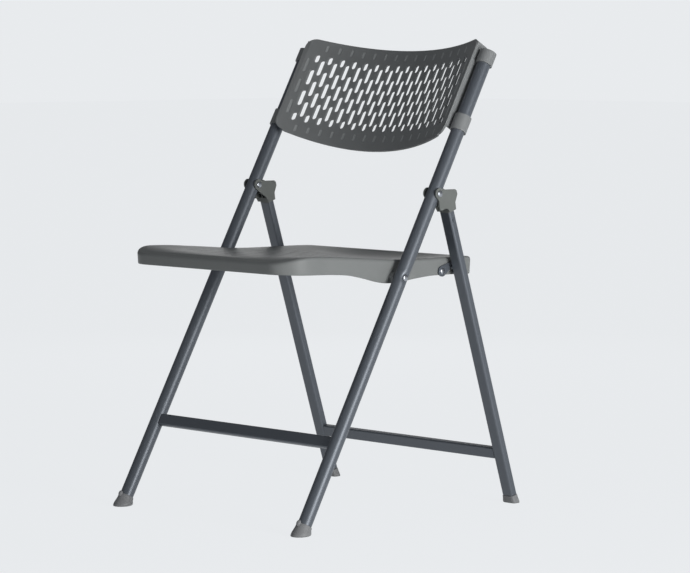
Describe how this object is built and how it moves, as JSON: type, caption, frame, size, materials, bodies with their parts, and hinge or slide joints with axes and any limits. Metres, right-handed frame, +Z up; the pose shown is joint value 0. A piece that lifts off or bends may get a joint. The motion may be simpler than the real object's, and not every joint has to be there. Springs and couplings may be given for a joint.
{
  "type": "folding chair",
  "caption": "Folding chair with round leaning front tubes, slotted curved backrest, moulded seat and hinged rear legs.",
  "frame": {"origin": "centre of the footprint's bounding box on the floor", "axes": "+Z up, the chair faces -Y, +X to the sitter's left hand when seated facing -Y"},
  "size_m": [0.5176, 0.577, 0.8644],
  "materials": {
    "steel": "satin powder coat",
    "backrest": "fine matt grain",
    "seat": "fine matt grain",
    "cap": "satin",
    "foot": "matt",
    "plate": "satin powder coat",
    "rivet": "bright zinc"
  },
  "bodies": {
    "front_frame": {"left_front_tube": "steel", "right_front_tube": "steel", "front_crossbar": "steel", "left_front_foot": "foot", "right_front_foot": "foot", "backrest": "backrest", "left_hinge_rivet": "rivet", "right_hinge_rivet": "rivet", "left_seat_rivet": "rivet", "right_seat_rivet": "rivet", "left_seat_spacer": "seat", "right_seat_spacer": "seat"},
    "seat": {"seat": "seat", "left_seat_plate": "plate", "right_seat_plate": "plate", "left_plate_rivet": "rivet", "right_plate_rivet": "rivet"},
    "rear_frame": {"left_rear_leg": "steel", "right_rear_leg": "steel", "rear_crossbar": "steel", "left_hinge_cap": "cap", "right_hinge_cap": "cap", "left_cap_screw": "plate", "right_cap_screw": "plate", "left_leg_stud": "rivet", "right_leg_stud": "rivet", "left_rear_foot": "foot", "right_rear_foot": "foot"}
  },
  "joints": [
    {"name": "seat_pivot", "type": "hinge", "parent": "front_frame", "child": "seat", "pos_m": [0, -0.0172, 0.4385], "axis": [1, 0, 0], "range_deg": [0, 60]},
    {"name": "rear_fold", "type": "hinge", "parent": "front_frame", "child": "rear_frame", "pos_m": [0, 0.06677, 0.58631], "axis": [1, 0, 0], "range_deg": [-47.4, 0]}
  ],
  "couplings": [
    {"joint": "rear_fold", "follows": "seat_pivot", "ratio": -0.79}
  ]
}
